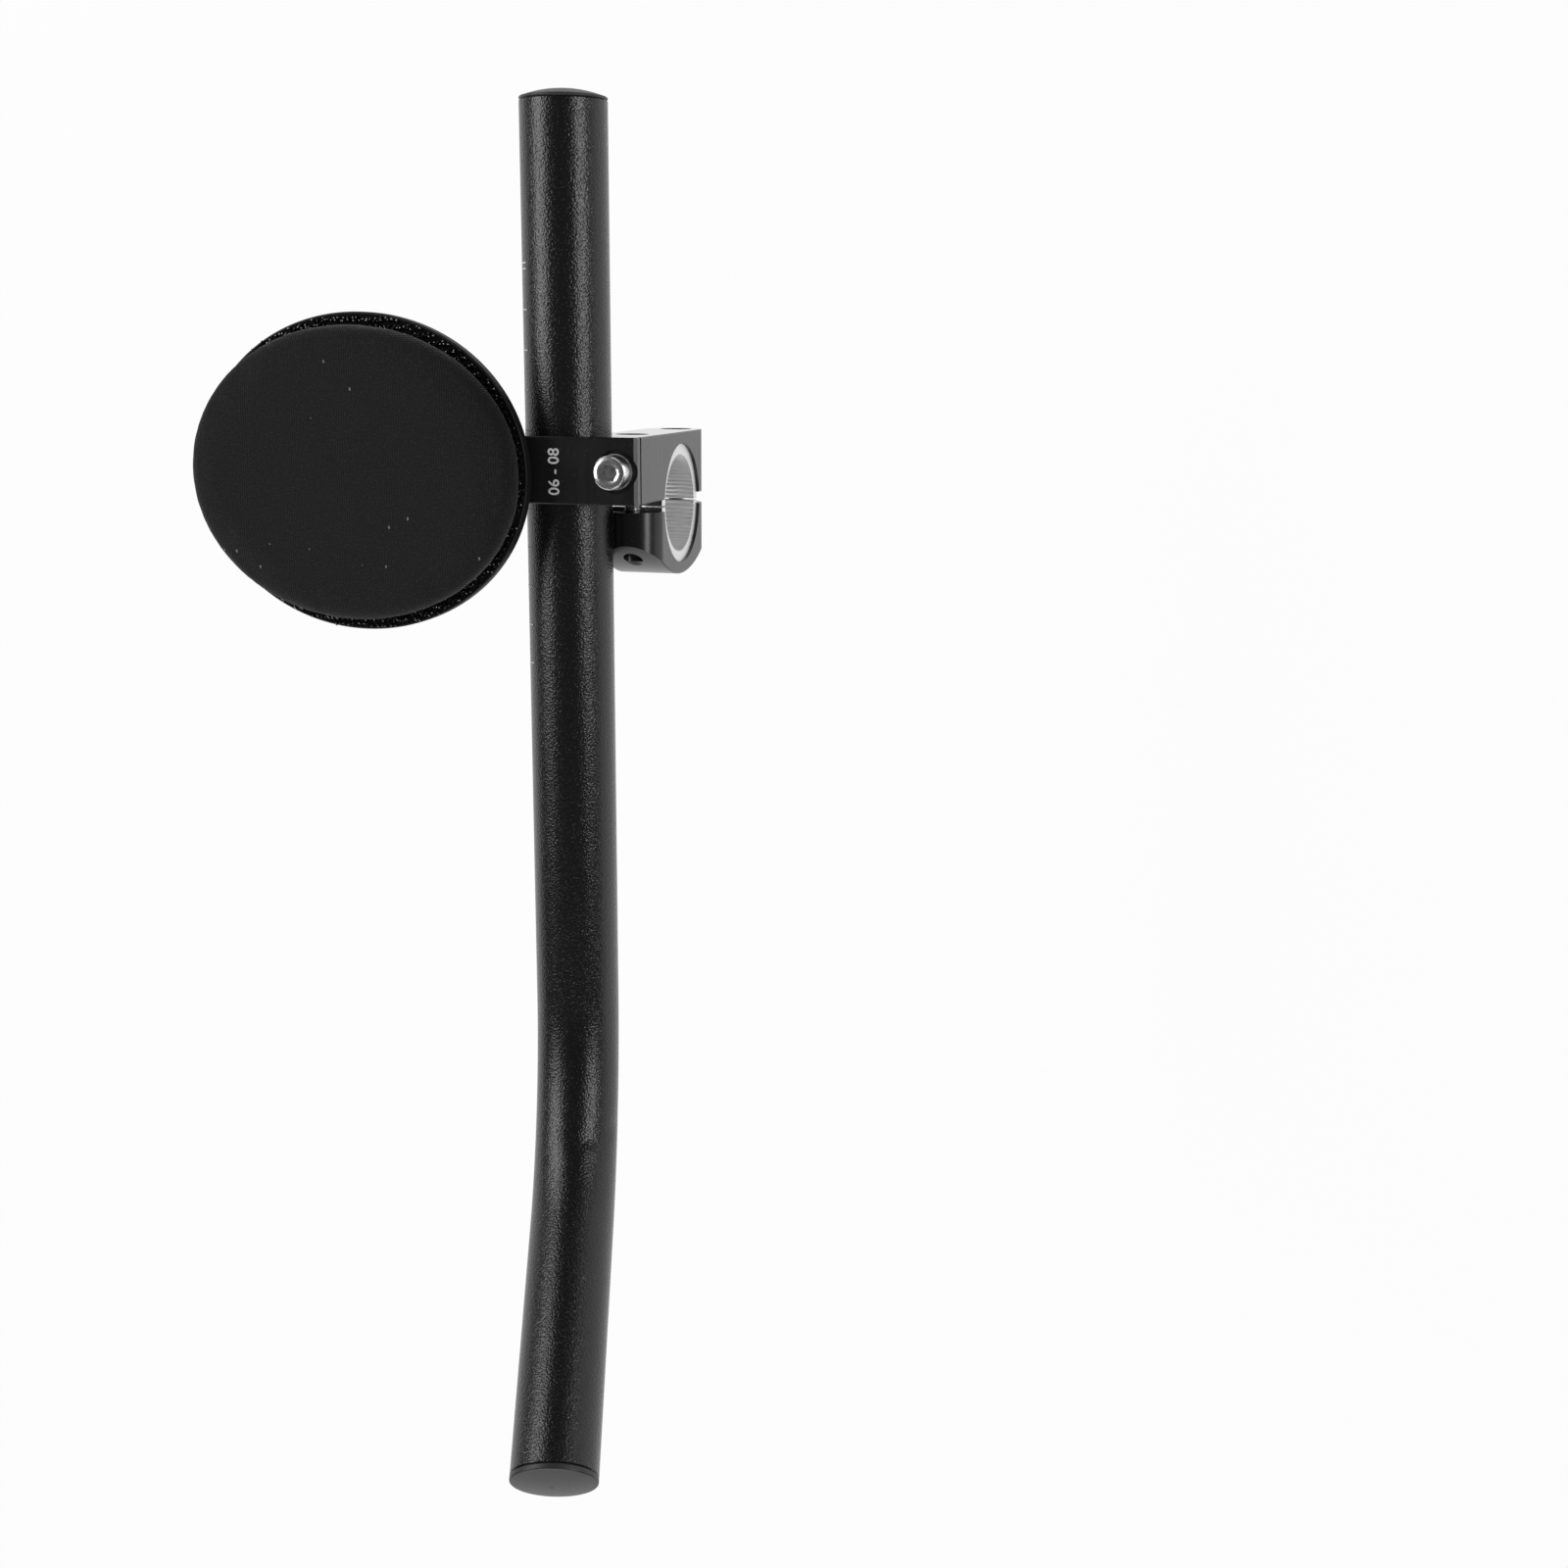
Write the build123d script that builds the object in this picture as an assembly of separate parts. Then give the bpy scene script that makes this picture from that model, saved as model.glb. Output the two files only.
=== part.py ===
"""Clip-on aero handlebar extension: ski-bend tube, handlebar clamp and forearm rest.

Millimetres. The origin is the centre of the handlebar bore, in the middle of the clamp's width.
X runs along the handlebar towards the middle of the bike, Y points to the rider and Z is up.
"""
import os
from math import cos, radians, sin, sqrt

from build123d import *

# Handlebar clamp
bar_diameter = 25.4             # handlebar that the shims fit
shim_thickness = 3.2            # takes the clamp's own bore down to the bar
shim_inset = 0.8                # shim ends, in from the clamp's side faces
shim_gap = 0.5                  # slot between the two shim halves
clamp_width = 15.5              # along the handlebar
clamp_edge_wall = 1.9           # above and below the bore, at the side faces
body_split = 1.9                # from the bore's centre back to the body's split face
cap_split = 1.1                 # from the bore's centre forward to the cap's split face
cap_front_wall = 3.0            # thinnest wall in front of the bore
cap_front_radius = 37.0         # gentle round of the cap's front
block_thickness = 17.0          # clamp body and arm, along the tube
edge_break = 0.3                # small chamfer on machined edges
fit_gap = 0.05                  # between pieces that seat on each other

# Extension tube
tube_diameter = 22.2
tube_wall = 1.6
tube_bar_gap = 2.2              # tube's underside above the handlebar
tube_offset = 14.9              # tube's axis out from the middle of the clamp
tube_grip_gap = 0.1             # tube in its clamp, bolt slackened
tube_rear_length = 101.0        # from the handlebar back to the tube's rear end
bend_start = 132.0              # from the handlebar forward to the start of the bend
bend_radius = 77.0              # centre line
bend_angle = 49.0               # rise of the hand end
bend_roll = 14.3                # bend turned in towards the middle of the bike
hand_length = 65.2              # straight end in front of the bend
tube_end_chamfer = 0.25

# Tube clamp and arm, one profile cut across at block_thickness
crown_wall = 1.8                # strap above the tube
ring_wall = 3.2                 # round the tube's outer side
flange_thickness = 2.8          # strap where the bolt sits
slit = 0.9
arm_thickness = 8.0
arm_end_margin = 11.0           # arm past the outer rest screw
arm_end_radius = 8.0
arm_fillet = 4.0                # under the arm, where it leaves the tube ring
strap_chamfer = 0.8             # along the strap's inner top edge
bar_relief_gap = 0.8            # tube ring cut clear of the bare bar

# Tube bolt
tube_bolt_offset = 2.25         # towards the inner side face
tube_bolt_diameter = 5.0
tube_bolt_head = 8.5
tube_bolt_length = 12.0
tube_bolt_recess = 11.0
recess_depth = 1.0
washer_diameter = 9.0
washer_thickness = 1.6

# Cap bolts, one above and one below the bar
cap_bolt_diameter = 5.0
cap_bolt_head = 8.5
cap_bolt_length = 25.0
cap_bolt_web = 0.8              # wall between a bolt and the bore
cap_boss_wall = 0.85            # outside a sunk bolt head
cap_hole_chamfer = 0.6
head_sink = 0.4                 # bolt head below the body's rear face
head_gap = 0.1                  # round a sunk bolt head

# Screws in general
hole_gap = 0.25                 # clearance hole, on the radius
thread_gap = 0.05               # modelled thread, on the radius
hole_runout = 1.0               # blind hole past the screw's tip
head_chamfer = 0.4
socket_share = 0.55             # depth of a hex socket as a share of its head
socket_step = 1.0               # hex key of a cap screw, smaller than its thread

# End plugs
rear_plug_flange = 0.9
rear_plug_dome = 1.9            # rise of the round face above the flange
front_plug_flange = 1.7
front_plug_dome = 1.1
plug_spigot_length = 12.0
plug_wall = 1.6
plug_gap = 0.1
plug_edge = 0.5
plug_joint = 0.35               # chamfer on the flange, where it meets the tube

# Forearm rest
rest_offset = 66.0              # rest's centre from the middle of the clamp
rest_forward = 1.5              # rest's centre in front of the arm's middle line
rest_width = 91.2               # along the handlebar
rest_depth = 81.0               # along the tube
rest_thickness = 3.0
rest_edge = 0.35
rest_rim = 0.5                  # bare rim round the hook disc
hook_recess = 0.6
hook_thickness = 1.4
hook_gap = 0.1
key_rib_height = 3.0            # ribs under the plate that straddle the arm
key_rib_width = 2.2
key_rib_length = 44.0
key_rib_gap = 0.3
rest_screw_spacing = 30.0
rest_screw_diameter = 5.0
rest_screw_length = 10.0
rest_screw_head = 9.5
rest_screw_head_height = 2.3
rest_screw_key = 3.0

# Forearm pad
pad_side_inset = 0.6            # inside the plate's outline, along the handlebar
pad_end_inset = 3.0             # inside the plate's outline, along the tube
pad_thickness = 8.5
pad_gap = 0.3
pad_top_round = 4.0
pad_bottom_round = 2.5

# Places and sizes that follow
bar_radius = bar_diameter / 2
bore_radius = bar_radius + shim_thickness
half_width = clamp_width / 2
side_height = bore_radius + clamp_edge_wall
tube_radius = tube_diameter / 2
tube_x = -tube_offset
tube_z = bar_radius + tube_bar_gap + tube_radius
grip_radius = tube_radius + tube_grip_gap
ring_radius = grip_radius + ring_wall
top_z = tube_z + grip_radius + crown_wall
slit_top = top_z - flange_thickness
slit_bottom = slit_top - slit
body_rear = body_split + block_thickness
arm_y = body_split + block_thickness / 2
arm_bottom = top_z - arm_thickness
cap_front = bore_radius + cap_front_wall
cap_bolt_radius = cap_bolt_diameter / 2
cap_bolt_sink = cap_bolt_head / 2 + head_gap
cap_bolt_z = bore_radius + cap_bolt_radius + cap_bolt_web
boss_height = cap_bolt_z + cap_bolt_sink + cap_boss_wall
cap_bolt_seat = body_rear - head_sink - cap_bolt_diameter
tube_bolt_radius = tube_bolt_diameter / 2
recess_floor = top_z - recess_depth
tube_bolt_seat = recess_floor + washer_thickness
tube_bolt_tip = tube_bolt_seat - tube_bolt_length
rest_x = -rest_offset
arm_reach = rest_offset + rest_screw_spacing / 2 + arm_end_margin
rest_y = arm_y - rest_forward
rest_floor = top_z + rest_thickness - hook_recess
pad_width = rest_width - 2 * pad_side_inset
pad_depth = rest_depth - 2 * pad_end_inset
pad_bottom = rest_floor + hook_thickness + pad_gap
reach_x = 4 * arm_reach         # longer than anything along the bar


def across(y):
    """Plane square to the tube at y: local x is X, local y is Z, its normal points forward."""
    return Plane(origin=(0, y, 0), x_dir=(1, 0, 0), z_dir=(0, -1, 0))


def beside(x):
    """Plane square to the handlebar at x: local x is Y, local y is Z."""
    return Plane(origin=(x, 0, 0), x_dir=(0, 1, 0), z_dir=(1, 0, 0))


def along_bar(radius, x_from, x_to):
    """Round bar along X on the handlebar's axis."""
    return extrude(beside(x_from) * Circle(radius), x_to - x_from)


def along_tube(radius, x, z, y_from, y_to):
    """Round bar along Y, from the rear end y_from forward to y_to."""
    return extrude(across(y_from) * Pos(x, z) * Circle(radius), y_from - y_to)


def upright(radius, x, y, z_from, z_to):
    """Round bar along Z."""
    return extrude(Plane((x, y, z_from)) * Circle(radius), z_to - z_from)


def clamp_outline(upper_boss):
    """Clamp seen from the rider, with round bosses below and, on the cap, above."""
    lower = ThreePointArc((-half_width, -side_height), (0, -boss_height), (half_width, -side_height))
    if upper_boss:
        upper = ThreePointArc((half_width, side_height), (0, boss_height), (-half_width, side_height))
        inner = Line(lower @ 1, upper @ 0)
        outer = Line(upper @ 1, lower @ 0)
        return make_face([lower, inner, upper, outer])
    rim = Polyline(lower @ 1, (half_width, top_z), (-half_width, top_z), lower @ 0)
    return make_face([lower, rim])


def body_outline():
    """Bar block, tube ring and arm in one outline, before its holes."""
    block = clamp_outline(upper_boss=False)
    below_top = Pos(0, top_z - reach_x / 2) * Rectangle(2 * reach_x, reach_x)
    ring = Pos(tube_x, tube_z) * Circle(ring_radius) & below_top
    strap_length = half_width - tube_x
    arm_length = arm_reach + tube_x
    strap_place = Pos(tube_x + strap_length / 2, top_z - flange_thickness / 2)
    strap = strap_place * Rectangle(strap_length, flange_thickness)
    arm = Pos(tube_x - arm_length / 2, top_z - arm_thickness / 2) * Rectangle(arm_length, arm_thickness)
    return block + ring + strap + arm


def cap_bolt_places():
    """Heights of the two cap bolts."""
    return cap_bolt_z, -cap_bolt_z


def rest_screw_places():
    """Places of the rest screws along the arm."""
    return rest_x + rest_screw_spacing / 2, rest_x - rest_screw_spacing / 2


def clamp_body():
    body = extrude(across(body_rear) * body_outline(), block_thickness)
    arm_corners = body.edges().filter_by(Axis.Z).group_by(Axis.X)[0]
    body = fillet(arm_corners, arm_end_radius)
    arm_root = body.edges().filter_by(Axis.Y).sort_by_distance((tube_x - ring_radius, arm_y, arm_bottom))[0]
    body = fillet(arm_root, arm_fillet)
    strap_edge = body.edges().filter_by(Axis.Y).sort_by(lambda edge: edge.center().Z + edge.center().X)[-1]
    body = chamfer(strap_edge, strap_chamfer)
    top_edges = body.faces().sort_by(Axis.Z)[-1].outer_wire().edges()
    side_edges = body.faces().sort_by(Axis.X)[-1].outer_wire().edges()
    body = chamfer(top_edges.filter_by(Axis.X) + side_edges.filter_by(Axis.Z), edge_break)
    body -= along_tube(grip_radius, tube_x, tube_z, body_rear, body_split)
    slit_box = Pos(tube_x, slit_bottom) * Rectangle(reach_x, slit, align=(Align.MIN, Align.MIN))
    body -= extrude(across(body_rear) * slit_box, block_thickness)
    body -= along_bar(bore_radius, -half_width, reach_x)
    body -= along_bar(bar_radius + bar_relief_gap, -reach_x, -half_width)
    for z in cap_bolt_places():
        body -= along_tube(cap_bolt_radius + hole_gap, 0, z, body_rear, body_split)
        body -= along_tube(cap_bolt_sink, 0, z, body_rear, cap_bolt_seat)
    body -= upright(tube_bolt_recess / 2, tube_bolt_offset, arm_y, recess_floor, top_z)
    body -= upright(tube_bolt_radius + hole_gap, tube_bolt_offset, arm_y, slit_top, top_z)
    thread_end = tube_bolt_tip - hole_runout
    body -= upright(tube_bolt_radius + thread_gap, tube_bolt_offset, arm_y, thread_end, slit_top)
    for x in rest_screw_places():
        body -= upright(rest_screw_diameter / 2 + thread_gap, x, arm_y, arm_bottom, top_z)
    return body


def bar_clamp_cap():
    front_round = Pos(cap_front_radius - cap_front, 0) * Circle(cap_front_radius)
    ahead_of_split = Pos(-cap_split, 0) * Rectangle(reach_x, reach_x, align=(Align.MAX, Align.CENTER))
    side = beside(-half_width) * (front_round & ahead_of_split)
    front_view = extrude(across(-cap_split) * clamp_outline(upper_boss=True), 2 * cap_front)
    cap = extrude(side, clamp_width) & front_view
    for face in (cap.faces().sort_by(Axis.X)[0], cap.faces().sort_by(Axis.X)[-1]):
        cap = chamfer(face.outer_wire().edges(), edge_break)
    cap -= along_bar(bore_radius, -half_width, half_width)
    cap -= along_tube(grip_radius + fit_gap, tube_x, tube_z, -cap_split, -2 * cap_front)
    for z in cap_bolt_places():
        cap -= along_tube(cap_bolt_radius + thread_gap, 0, z, -cap_split, -2 * cap_front)
        cap -= cap_bolt_entry(z)
    return cap


def cap_bolt_entry(z):
    """Countersink where a cap bolt's hole comes out of the round front."""
    rise = abs(z) - cap_bolt_radius
    surface = cap_front - cap_front_radius + sqrt(cap_front_radius ** 2 - rise ** 2)
    small = cap_bolt_radius + thread_gap
    depth = 4 * cap_hole_chamfer
    cone = Cone(small, small + depth, depth, align=(Align.CENTER, Align.CENTER, Align.MIN))
    return across(cap_hole_chamfer - surface) * Pos(0, z) * cone


def shim_half(side):
    """Half shell round the bar: side 1 lies against the body, side -1 in the cap."""
    ring = Circle(bore_radius - fit_gap) - Circle(bar_radius)
    half_plane = Pos(side * (shim_gap + reach_x) / 2, 0) * Rectangle(reach_x, reach_x)
    length = clamp_width - 2 * shim_inset
    return extrude(beside(-length / 2) * (ring & half_plane), length)


def tube_plane():
    """Plane of the bend: local x runs forward along the tube, local y to the inside of the bend."""
    roll = radians(bend_roll)
    return Plane(origin=(tube_x, 0, tube_z), x_dir=(0, -1, 0), z_dir=(-cos(roll), 0, sin(roll)))


def tube_path():
    """Centre line from the rear end to the hand end."""
    turn = radians(bend_angle)
    bend_end = (bend_start + bend_radius * sin(turn), bend_radius * (1 - cos(turn)))
    bend_middle = (bend_start + bend_radius * sin(turn / 2), bend_radius * (1 - cos(turn / 2)))
    hand_end = (bend_end[0] + hand_length * cos(turn), bend_end[1] + hand_length * sin(turn))
    rear = Line((-tube_rear_length, 0), (bend_start, 0))
    bend = ThreePointArc((bend_start, 0), bend_middle, bend_end)
    hand = Line(bend_end, hand_end)
    return tube_plane() * Wire([rear, bend, hand])


def tube_end(position):
    """Plane on an end of the tube: its normal points out of the tube, local x to the underside."""
    path = tube_path()
    forward = path % position
    outward = forward if position else -forward
    return Plane(origin=path @ position, x_dir=forward.cross(tube_plane().z_dir), z_dir=outward)


def extension_tube():
    section = Circle(tube_radius) - Circle(tube_radius - tube_wall)
    tube = sweep(tube_end(0) * section, path=tube_path())
    for position in (0, 1):
        end_face = tube.faces().sort_by_distance(tube_end(position).origin)[0]
        tube = chamfer(end_face.outer_wire().edges(), tube_end_chamfer)
    return tube


def plug_spigot():
    """Hollow stub that grips the inside of the tube."""
    outer = tube_radius - tube_wall - plug_gap
    return extrude(Circle(outer) - Circle(outer - plug_wall), -plug_spigot_length)


def end_plug(position, flange, dome):
    """Domed plug in an end of the tube."""
    rim = tube_radius - plug_edge
    corner = plug_edge * sin(radians(45))
    dome_radius = (rim ** 2 + dome ** 2) / (2 * dome)
    crown = flange + dome
    half_way = crown - dome_radius + sqrt(dome_radius ** 2 - rim ** 2 / 4)
    round_start = flange - plug_edge
    seat_radius = tube_radius - plug_joint
    joint_end = (tube_radius, plug_joint)
    seat = Polyline((0, crown), (0, 0), (seat_radius, 0), joint_end, (tube_radius, round_start))
    rim_round = ThreePointArc(seat @ 1, (rim + corner, round_start + corner), (rim, flange))
    face = ThreePointArc(rim_round @ 1, (rim / 2, half_way), (0, crown))
    head = revolve(Plane.XZ * make_face([seat, rim_round, face]), Axis.Z)
    return tube_end(position) * (head + plug_spigot())


def socket_screw(diameter, head_diameter, length):
    """Hex socket cap screw along Z: tip at -length, head on top of z 0."""
    head = extrude(Circle(head_diameter / 2), diameter)
    head = chamfer(head.edges().group_by(Axis.Z)[-1], head_chamfer)
    shank = extrude(Circle(diameter / 2), -length)
    shank = chamfer(shank.edges().group_by(Axis.Z)[0], head_chamfer)
    depth = socket_share * diameter
    key = diameter - socket_step
    socket = Pos(0, 0, diameter - depth) * extrude(RegularPolygon(key / sqrt(3), 6), diameter)
    return head + shank - socket


def tube_bolt():
    screw = socket_screw(tube_bolt_diameter, tube_bolt_head, tube_bolt_length)
    return Pos(tube_bolt_offset, arm_y, tube_bolt_seat) * screw


def tube_bolt_washer():
    ring = Circle(washer_diameter / 2) - Circle(tube_bolt_radius + hole_gap)
    return extrude(Plane((tube_bolt_offset, arm_y, recess_floor)) * ring, washer_thickness)


def cap_bolt(z):
    seat = Plane(origin=(0, cap_bolt_seat, z), x_dir=(1, 0, 0), z_dir=(0, 1, 0))
    return seat * socket_screw(cap_bolt_diameter, cap_bolt_head, cap_bolt_length)


def oval(width, depth, z):
    """Oval on the rest's centre."""
    return Plane((rest_x, rest_y, z)) * Ellipse(width / 2, depth / 2)


def screw_head(gap):
    """Countersunk head, top at z 0, made wider all round by a gap."""
    foot = rest_screw_diameter / 2 + gap
    top = rest_screw_head / 2 + gap
    return Cone(foot, top, rest_screw_head_height, align=(Align.CENTER, Align.CENTER, Align.MAX))


def rest_plate():
    plate = extrude(oval(rest_width, rest_depth, top_z), rest_thickness)
    plate = fillet(plate.edges().group_by(Axis.Z)[-1], rest_edge)
    plate -= extrude(oval(rest_width - 2 * rest_rim, rest_depth - 2 * rest_rim, rest_floor), rest_thickness)
    rib = Rectangle(key_rib_length, key_rib_width)
    rib_offset = block_thickness / 2 + key_rib_gap + key_rib_width / 2
    for side in (1, -1):
        plate += extrude(Plane((rest_x, arm_y + side * rib_offset, top_z)) * rib, -key_rib_height)
    for x in rest_screw_places():
        plate -= upright(rest_screw_diameter / 2 + hole_gap, x, arm_y, top_z, rest_floor)
        plate -= Pos(x, arm_y, rest_floor) * screw_head(fit_gap)
    return plate


def rest_screw(x):
    shank = extrude(Circle(rest_screw_diameter / 2), -rest_screw_length)
    shank = chamfer(shank.edges().group_by(Axis.Z)[0], head_chamfer)
    key = extrude(RegularPolygon(rest_screw_key / sqrt(3), 6), rest_screw_head_height)
    socket = Pos(0, 0, -socket_share * rest_screw_head_height) * key
    return Pos(x, arm_y, rest_floor) * (screw_head(0) + shank - socket)


def hook_disc():
    inset = 2 * (rest_rim + hook_gap)
    return extrude(oval(rest_width - inset, rest_depth - inset, rest_floor), hook_thickness)


def arm_pad():
    pad = extrude(oval(pad_width, pad_depth, pad_bottom), pad_thickness)
    pad = fillet(pad.edges().group_by(Axis.Z)[-1], pad_top_round)
    return fillet(pad.edges().group_by(Axis.Z)[0], pad_bottom_round)


def pieces():
    upper_bolt, lower_bolt = cap_bolt_places()
    inner_screw, outer_screw = rest_screw_places()
    return {
        "extension_tube": extension_tube(),
        "rear_end_plug": end_plug(0, rear_plug_flange, rear_plug_dome),
        "front_end_plug": end_plug(1, front_plug_flange, front_plug_dome),
        "clamp_body": clamp_body(),
        "bar_clamp_cap": bar_clamp_cap(),
        "rear_shim": shim_half(1),
        "front_shim": shim_half(-1),
        "tube_bolt": tube_bolt(),
        "tube_bolt_washer": tube_bolt_washer(),
        "upper_cap_bolt": cap_bolt(upper_bolt),
        "lower_cap_bolt": cap_bolt(lower_bolt),
        "rest_plate": rest_plate(),
        "inner_rest_screw": rest_screw(inner_screw),
        "outer_rest_screw": rest_screw(outer_screw),
        "hook_disc": hook_disc(),
        "arm_pad": arm_pad(),
    }


os.makedirs("parts", exist_ok=True)
for name, solid in pieces().items():
    export_step(solid, f"parts/{name}.step")
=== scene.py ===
import random
from math import atan2, cos, hypot, pi, radians, sin

import bpy
from mathutils import Euler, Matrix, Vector


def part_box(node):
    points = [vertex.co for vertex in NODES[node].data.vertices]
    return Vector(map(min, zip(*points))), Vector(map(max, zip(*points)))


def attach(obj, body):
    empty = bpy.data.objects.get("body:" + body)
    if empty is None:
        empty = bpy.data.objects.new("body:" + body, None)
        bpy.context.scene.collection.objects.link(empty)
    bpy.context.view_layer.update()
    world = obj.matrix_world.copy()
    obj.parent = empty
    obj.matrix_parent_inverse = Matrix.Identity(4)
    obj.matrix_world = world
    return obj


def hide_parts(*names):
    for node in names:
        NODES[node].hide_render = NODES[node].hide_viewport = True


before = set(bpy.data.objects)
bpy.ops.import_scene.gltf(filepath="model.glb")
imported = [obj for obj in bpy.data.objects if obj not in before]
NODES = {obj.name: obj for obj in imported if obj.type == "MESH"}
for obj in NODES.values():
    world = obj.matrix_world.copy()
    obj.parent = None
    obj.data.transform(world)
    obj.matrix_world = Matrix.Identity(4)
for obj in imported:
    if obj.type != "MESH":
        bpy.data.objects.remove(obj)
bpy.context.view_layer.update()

SCENE = bpy.context.scene
MM = 0.001                      # sizes are in metres
HAIR = 0.001 * MM               # tells one row of points from the next
SKIN = 0.05 * MM                # tells a flat end face from what lies behind it

# Sizes of the solids
BAR_RADIUS = 12.7 * MM
TUBE_RADIUS = 11.1 * MM
TUBE_X = -14.9 * MM
TUBE_Z = 26.0 * MM
CAP_BOLT_RADIUS = 2.5 * MM
CAP_BOLT_KEY = 4.0 * MM

# Dent in the inner side of the tube's bend
DENT_X = -5.0 * MM
DENT_Y = -166.5 * MM
DENT_WIDTH = 7.0 * MM           # across the tube
DENT_LENGTH = 2.7 * MM          # along it
DENT_DEPTH = 0.5 * MM

# Chrome bolt
HEAD_FACE = 0.15 * MM           # top of the head that counts as its face
SOCKET_EDGE = 2.3 * MM          # from the bolt's middle to the socket's corners
CROWN_WIDTH = 1.5 * MM          # of the crowned face round the socket
CROWN_HEIGHT = 0.12 * MM

# Shims
SHIM_RIBS = 72                  # round the whole bore
POINTS_PER_RIB = 2
RIB_DEPTH = 0.45 * MM

# Cap bolts
HEAD_ROUND = 0.45 * MM
SOCKET_SHARE = 0.55             # of the head's height that the socket takes
TIP_ROUND = 0.3 * MM
THREAD_PITCH = 0.8 * MM
THREAD_DEPTH = 0.42 * MM
RIDGE_RADIUS = 0.5 * MM         # of the three-sided ridge, before it is pressed thinner
RIDGE_PRESS = 0.72
RIDGE_LEAD = 0.05 * MM          # from the tip to the ridge

# Hook tape
TAPE_BASE = 0.55 * MM
TAPE_ROUND = 0.2 * MM
WEAVE_PITCH = 0.5 * MM
HOOK_WIRE = 0.26 * MM           # half a hook's thickness
HOOK_STEM = 0.25 * MM
HOOK_BEND = 0.34 * MM           # radius of its bent-over top
HOOK_TURN = radians(150)        # how far that is bent
HOOK_STEP = 1.3 * MM            # from hook to hook in a row
HOOK_ROW = 0.95 * MM            # from row to row
HOOK_SWAY = 1.2                 # how far hooks are turned out of line, in radians
HOOK_STRAY = 0.25 * MM          # and moved out of it
HOOK_SEED = 7
HOOK_BAND = (0.86, 0.995)       # part of the disc that shows beside the pad

# Forearm pad
PAD_SWELL = 0.7 * MM            # how far the cover may rise over its foam
PAD_INSET = 0.05 * MM           # foam inside the pad's outline
PAD_SHOULDER = 4.6 * MM
PAD_FOOT = 0.8 * MM
PAD_VOXEL = 1.4 * MM
PAD_PRESSURE = 4.0
PAD_FRAMES = 20
KNIT_WALE = 0.62 * MM
KNIT_COURSE = 0.5 * MM

# Marking ink
INK_LIFT = 0.03 * MM
INK_THICKNESS = 0.025 * MM
TICK_FIRST = 60.1 * MM          # rearmost graduation
TICK_STEP = 10 * MM
TICK_COUNT = 11
TICK_WIDTH = 0.32 * MM
LIMIT_GAP = 1.45 * MM           # from the rearmost graduation back to the limit line
TICK_TURN = (radians(43), radians(64))   # from the tube's top to its outer side
NUMBER_TURN = radians(86)
NUMBER_HEIGHT = 2.8 * MM
NUMBER_CUTS = 5                 # in each edge, so that long strokes follow the tube
CAPITAL_SHARE = 0.7             # of the letter size that a figure's height takes
ARM_FIGURES = "06 - 08"
ARM_FIGURE_HEIGHT = 2.9 * MM
ARM_FIGURE_BOLD = 0.05 * MM     # how far the strokes are thickened
ARM_FIGURE_X = -14.2 * MM
ARM_FIGURE_Y = 10.1 * MM

# Studio
FLOOR_WIDTH = 12.0
FLOOR_Z = -0.16
FLOOR_WHITE = 0.93              # share of plain white that is looked at or mirrored
ROOM_LIGHT = 0.07
SENSOR_WIDTH = 36               # in millimetres, as is the focal length
FOCAL_LENGTH = 45.917
CLIP_START = 0.01
CAMERA_PLACE = (0.16695, 0.04140, 0.52033)
CAMERA_TURN = (radians(-12.2497), radians(14.1553), radians(0.3713))


class Wire:
    """One output socket, which can be used in Python sums."""

    def __init__(self, nodes, socket):
        self.nodes = nodes
        self.socket = socket

    def maths(self, operation, *values):
        return self.nodes.node("ShaderNodeMath", {"operation": operation}, dict(enumerate(values)))

    def sine(self):
        return self.maths("SINE", self)

    def root(self):
        return self.maths("SQRT", self)

    def exponential(self):
        return self.maths("EXPONENT", self)

    def __add__(self, other):
        return self.maths("ADD", self, other)

    def __sub__(self, other):
        return self.maths("SUBTRACT", self, other)

    def __rsub__(self, other):
        return self.maths("SUBTRACT", other, self)

    def __mul__(self, other):
        return self.maths("MULTIPLY", self, other)

    def __truediv__(self, other):
        return self.maths("DIVIDE", self, other)

    def __rtruediv__(self, other):
        return self.maths("DIVIDE", other, self)

    def __gt__(self, other):
        return self.maths("GREATER_THAN", self, other)

    def __lt__(self, other):
        return self.maths("LESS_THAN", self, other)

    __radd__ = __add__
    __rmul__ = __mul__


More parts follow.
